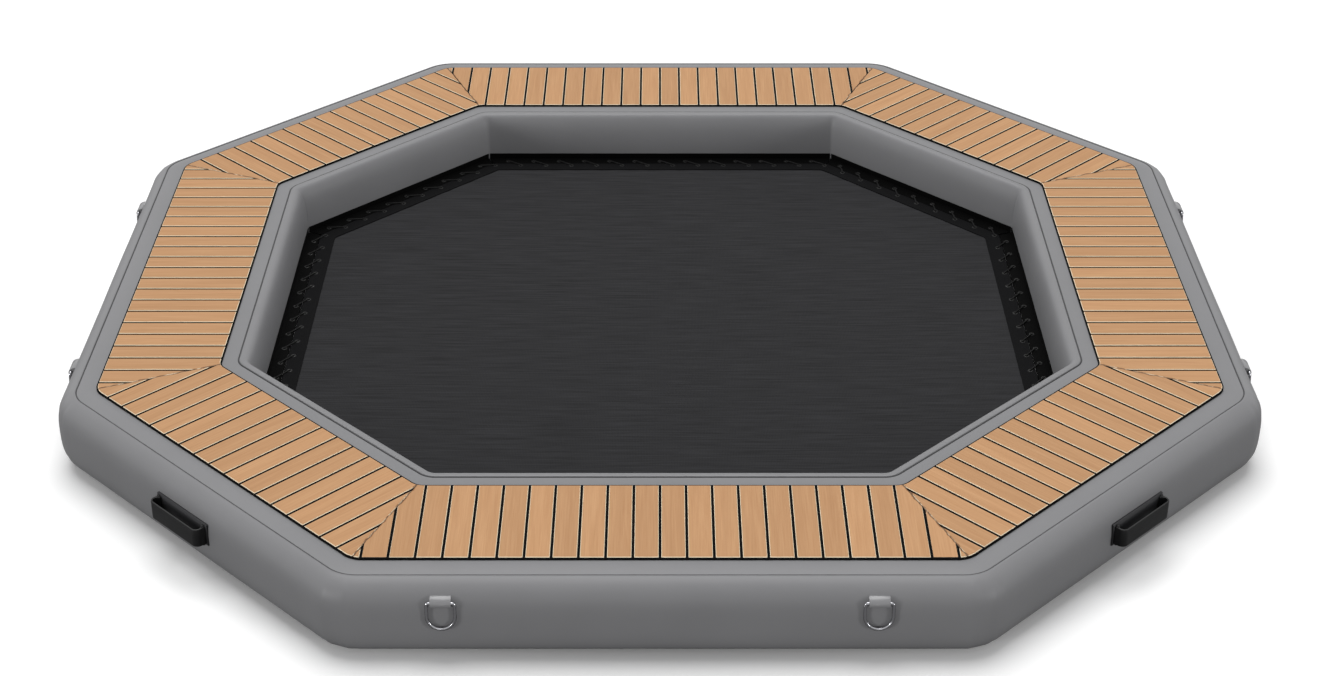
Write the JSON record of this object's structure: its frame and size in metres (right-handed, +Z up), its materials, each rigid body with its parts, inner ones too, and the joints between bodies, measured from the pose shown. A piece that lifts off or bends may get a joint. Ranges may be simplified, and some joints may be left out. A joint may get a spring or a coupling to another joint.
{
  "type": "inflatable dock platform",
  "caption": "Eight-sided inflatable ring dock with a teak-look foam deck, a laced mesh floor in the middle, D-rings, carry handles and an inflation valve.",
  "frame": {"origin": "on the floor under the middle of the ring", "axes": "+X to the right of the front side, along the widest way across; front side faces -Y; +Z up, out of the deck"},
  "size_m": [3.067, 2.968, 0.2138],
  "materials": {
    "grey_pvc": "satin PVC-coated fabric",
    "grey_keeper": "glossy grey PVC sleeve",
    "drop_stitch": "polyester thread block",
    "teak_foam": "brushed EVA foam, faux teak with black grooves",
    "black_mesh": "fine dark mesh",
    "black_webbing": "woven webbing",
    "black_cord": "braided cord",
    "stainless": "polished",
    "black_rubber": "satin",
    "dark_backing": "matt",
    "valve_plastic": "moulded, satin"
  },
  "bodies": {
    "platform": {"drop_stitch_core": "drop_stitch", "bottom_skin": "grey_pvc", "top_skin": "grey_pvc", "outer_wall": "grey_pvc", "inner_wall": "grey_pvc", "deck_pad_front": "teak_foam", "deck_pad_front_right": "teak_foam", "deck_pad_right": "teak_foam", "deck_pad_back_right": "teak_foam", "deck_pad_back": "teak_foam", "deck_pad_back_left": "teak_foam", "deck_pad_left": "teak_foam", "deck_pad_front_left": "teak_foam", "mesh_hem": "black_webbing", "mesh_panel": "black_mesh", "lacing_flap_front": "black_webbing", "lacing_flap_front_right": "black_webbing", "lacing_flap_right": "black_webbing", "lacing_flap_back_right": "black_webbing", "lacing_flap_back": "black_webbing", "lacing_flap_back_left": "black_webbing", "lacing_flap_left": "black_webbing", "lacing_flap_front_left": "black_webbing", "lacing_cord": "black_cord", "ring_keeper_front_left": "grey_keeper", "ring_keeper_front_right": "grey_keeper", "ring_keeper_right_front": "grey_keeper", "ring_keeper_right_back": "grey_keeper", "ring_keeper_back_right": "grey_keeper", "ring_keeper_back_left": "grey_keeper", "ring_keeper_left_back": "grey_keeper", "ring_keeper_left_front": "grey_keeper", "handle_backing_front_right": "dark_backing", "handle_front_right": "black_rubber", "handle_backing_back_right": "dark_backing", "handle_back_right": "black_rubber", "handle_backing_back_left": "dark_backing", "handle_back_left": "black_rubber", "handle_backing_front_left": "dark_backing", "handle_front_left": "black_rubber", "valve_body": "valve_plastic", "valve_nut": "valve_plastic", "valve_spring": "stainless"},
    "d_ring_front_left": {"d_ring_front_left": "stainless"},
    "d_ring_front_right": {"d_ring_front_right": "stainless"},
    "d_ring_right_front": {"d_ring_right_front": "stainless"},
    "d_ring_right_back": {"d_ring_right_back": "stainless"},
    "d_ring_back_right": {"d_ring_back_right": "stainless"},
    "d_ring_back_left": {"d_ring_back_left": "stainless"},
    "d_ring_left_back": {"d_ring_left_back": "stainless"},
    "d_ring_left_front": {"d_ring_left_front": "stainless"},
    "valve_stem": {"valve_stem": "valve_plastic", "valve_seal": "black_rubber"},
    "valve_tether": {"valve_tether": "valve_plastic"},
    "valve_cap": {"valve_cap": "valve_plastic"}
  },
  "joints": [
    {"name": "d_ring_swing_front_left", "type": "hinge", "parent": "platform", "child": "d_ring_front_left", "pos_m": [-0.48795, -1.47586, 0.164], "axis": [-1, 0, 0], "range_deg": [0, 190]},
    {"name": "d_ring_swing_front_right", "type": "hinge", "parent": "platform", "child": "d_ring_front_right", "pos_m": [0.48795, -1.47586, 0.164], "axis": [-1, 0, 0], "range_deg": [0, 190]},
    {"name": "d_ring_swing_right_front", "type": "hinge", "parent": "platform", "child": "d_ring_right_front", "pos_m": [1.52536, -0.4532, 0.164], "axis": [0, -1, 0], "range_deg": [0, 190]},
    {"name": "d_ring_swing_right_back", "type": "hinge", "parent": "platform", "child": "d_ring_right_back", "pos_m": [1.52536, 0.4532, 0.164], "axis": [0, -1, 0], "range_deg": [0, 190]},
    {"name": "d_ring_swing_back_right", "type": "hinge", "parent": "platform", "child": "d_ring_back_right", "pos_m": [0.48795, 1.47586, 0.164], "axis": [1, 0, 0], "range_deg": [0, 190]},
    {"name": "d_ring_swing_back_left", "type": "hinge", "parent": "platform", "child": "d_ring_back_left", "pos_m": [-0.48795, 1.47586, 0.164], "axis": [1, 0, 0], "range_deg": [0, 190]},
    {"name": "d_ring_swing_left_back", "type": "hinge", "parent": "platform", "child": "d_ring_left_back", "pos_m": [-1.52536, 0.4532, 0.164], "axis": [0, 1, 0], "range_deg": [0, 190]},
    {"name": "d_ring_swing_left_front", "type": "hinge", "parent": "platform", "child": "d_ring_left_front", "pos_m": [-1.52536, -0.4532, 0.164], "axis": [0, 1, 0], "range_deg": [0, 190]},
    {"name": "valve_press", "type": "slide", "parent": "platform", "child": "valve_stem", "axis": [0, -1, 0], "range_m": [0, 0.006], "stiffness_N_per_m": 600, "springref_m": -0.004, "deforming": ["valve_spring"]},
    {"name": "valve_cap_flip", "type": "hinge", "parent": "platform", "child": "valve_tether", "pos_m": [-0.0285, 1.4776, 0.1045], "axis": [0, 0, 1], "range_deg": [0, 110]},
    {"name": "valve_cap_turn", "type": "hinge", "parent": "valve_tether", "child": "valve_cap", "pos_m": [0, 1.4745, 0.1045], "axis": [0, 1, 0], "continuous": true}
  ]
}
